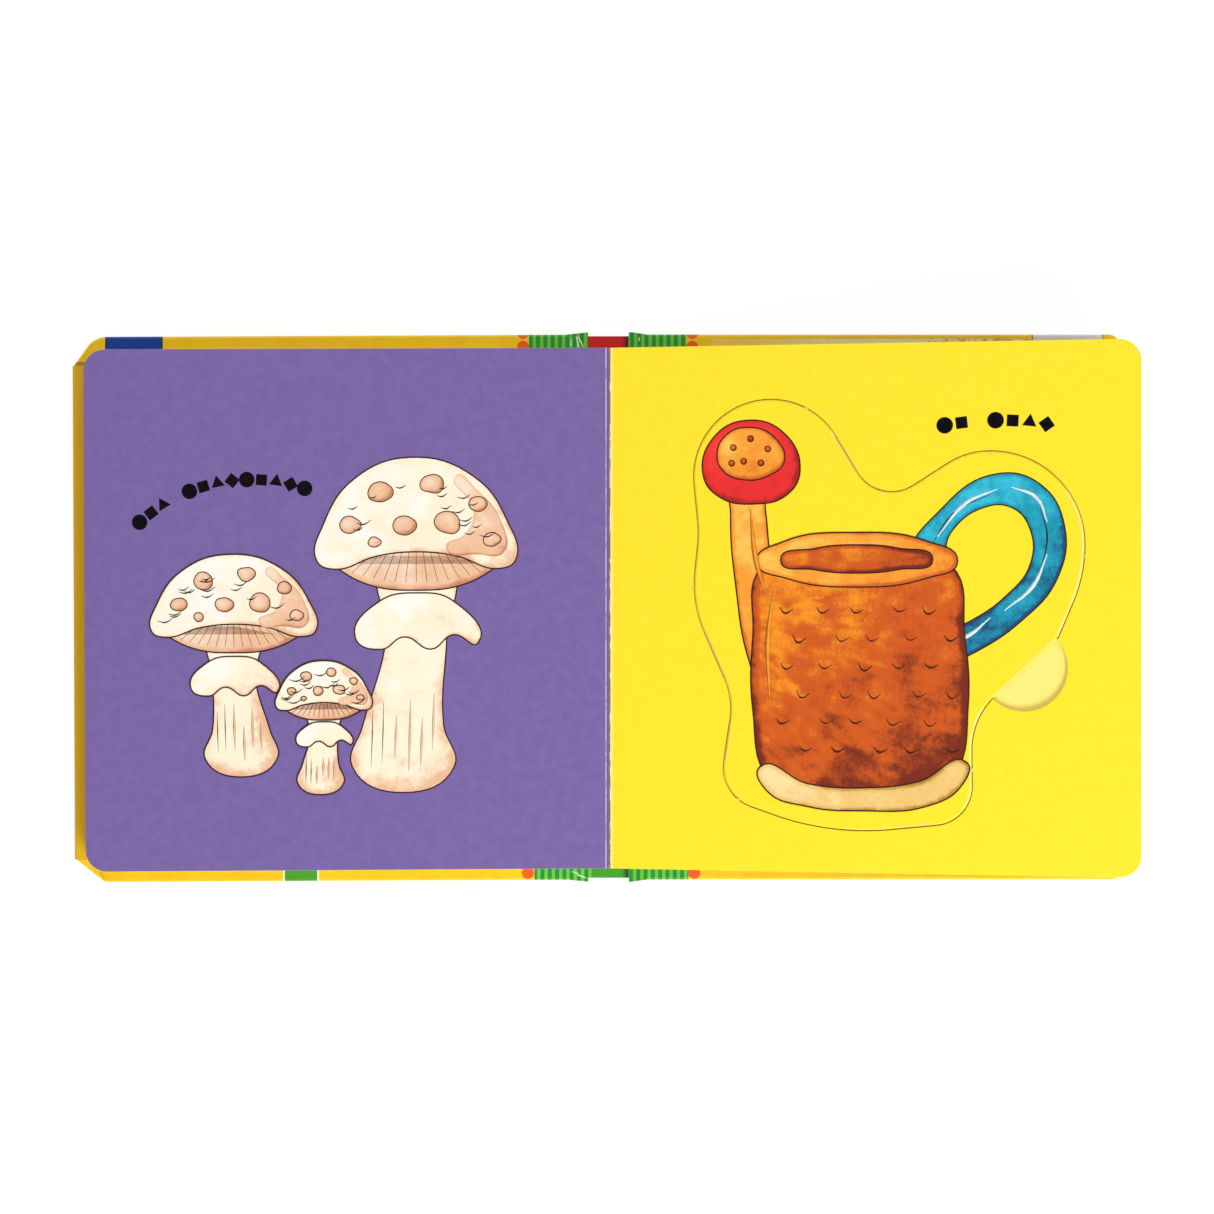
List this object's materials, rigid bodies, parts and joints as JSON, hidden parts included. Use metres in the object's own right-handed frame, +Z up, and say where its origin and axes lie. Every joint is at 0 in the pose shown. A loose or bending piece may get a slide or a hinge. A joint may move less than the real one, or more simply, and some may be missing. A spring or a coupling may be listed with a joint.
{
  "type": "puzzle book",
  "caption": "Square children's board book lying open, with a cased cover, thick leaves and a lift-out puzzle piece in each right-hand page.",
  "frame": {"origin": "on the table, under the middle of the open case", "axes": "+X from the front cover's fore edge to the back cover's, +Y from the tail of the book to its head, +Z up"},
  "size_m": [0.3133, 0.1614, 0.037],
  "materials": {
    "case_board": "matte grey board",
    "case_paper": "gloss laminated print",
    "page_card": "satin coated print",
    "page_purple": "satin coated print",
    "piece_card": "satin coated print"
  },
  "bodies": {
    "spine": {"spine_card": "case_board", "spine_paper": "case_paper"},
    "front_half": {"front_board": "case_board", "front_cover_paper": "case_paper", "left_pages": "page_purple", "puzzle_piece_1": "piece_card", "puzzle_piece_2": "piece_card"},
    "back_half": {"back_board": "case_board", "back_cover_paper": "case_paper", "right_pages": "page_card", "puzzle_piece_3": "piece_card", "puzzle_piece_4": "piece_card", "puzzle_piece_5": "piece_card"}
  },
  "joints": [
    {"name": "front_hinge", "type": "hinge", "parent": "spine", "child": "front_half", "pos_m": [0.0005, 0, 0.0093], "axis": [0, 1, 0], "range_deg": [0, 83.5]},
    {"name": "back_hinge", "type": "hinge", "parent": "spine", "child": "back_half", "pos_m": [0.0005, 0, 0.0093], "axis": [0, -1, 0], "range_deg": [0, 83.5]}
  ],
  "couplings": [
    {"joint": "back_hinge", "follows": "front_hinge", "ratio": 1}
  ]
}
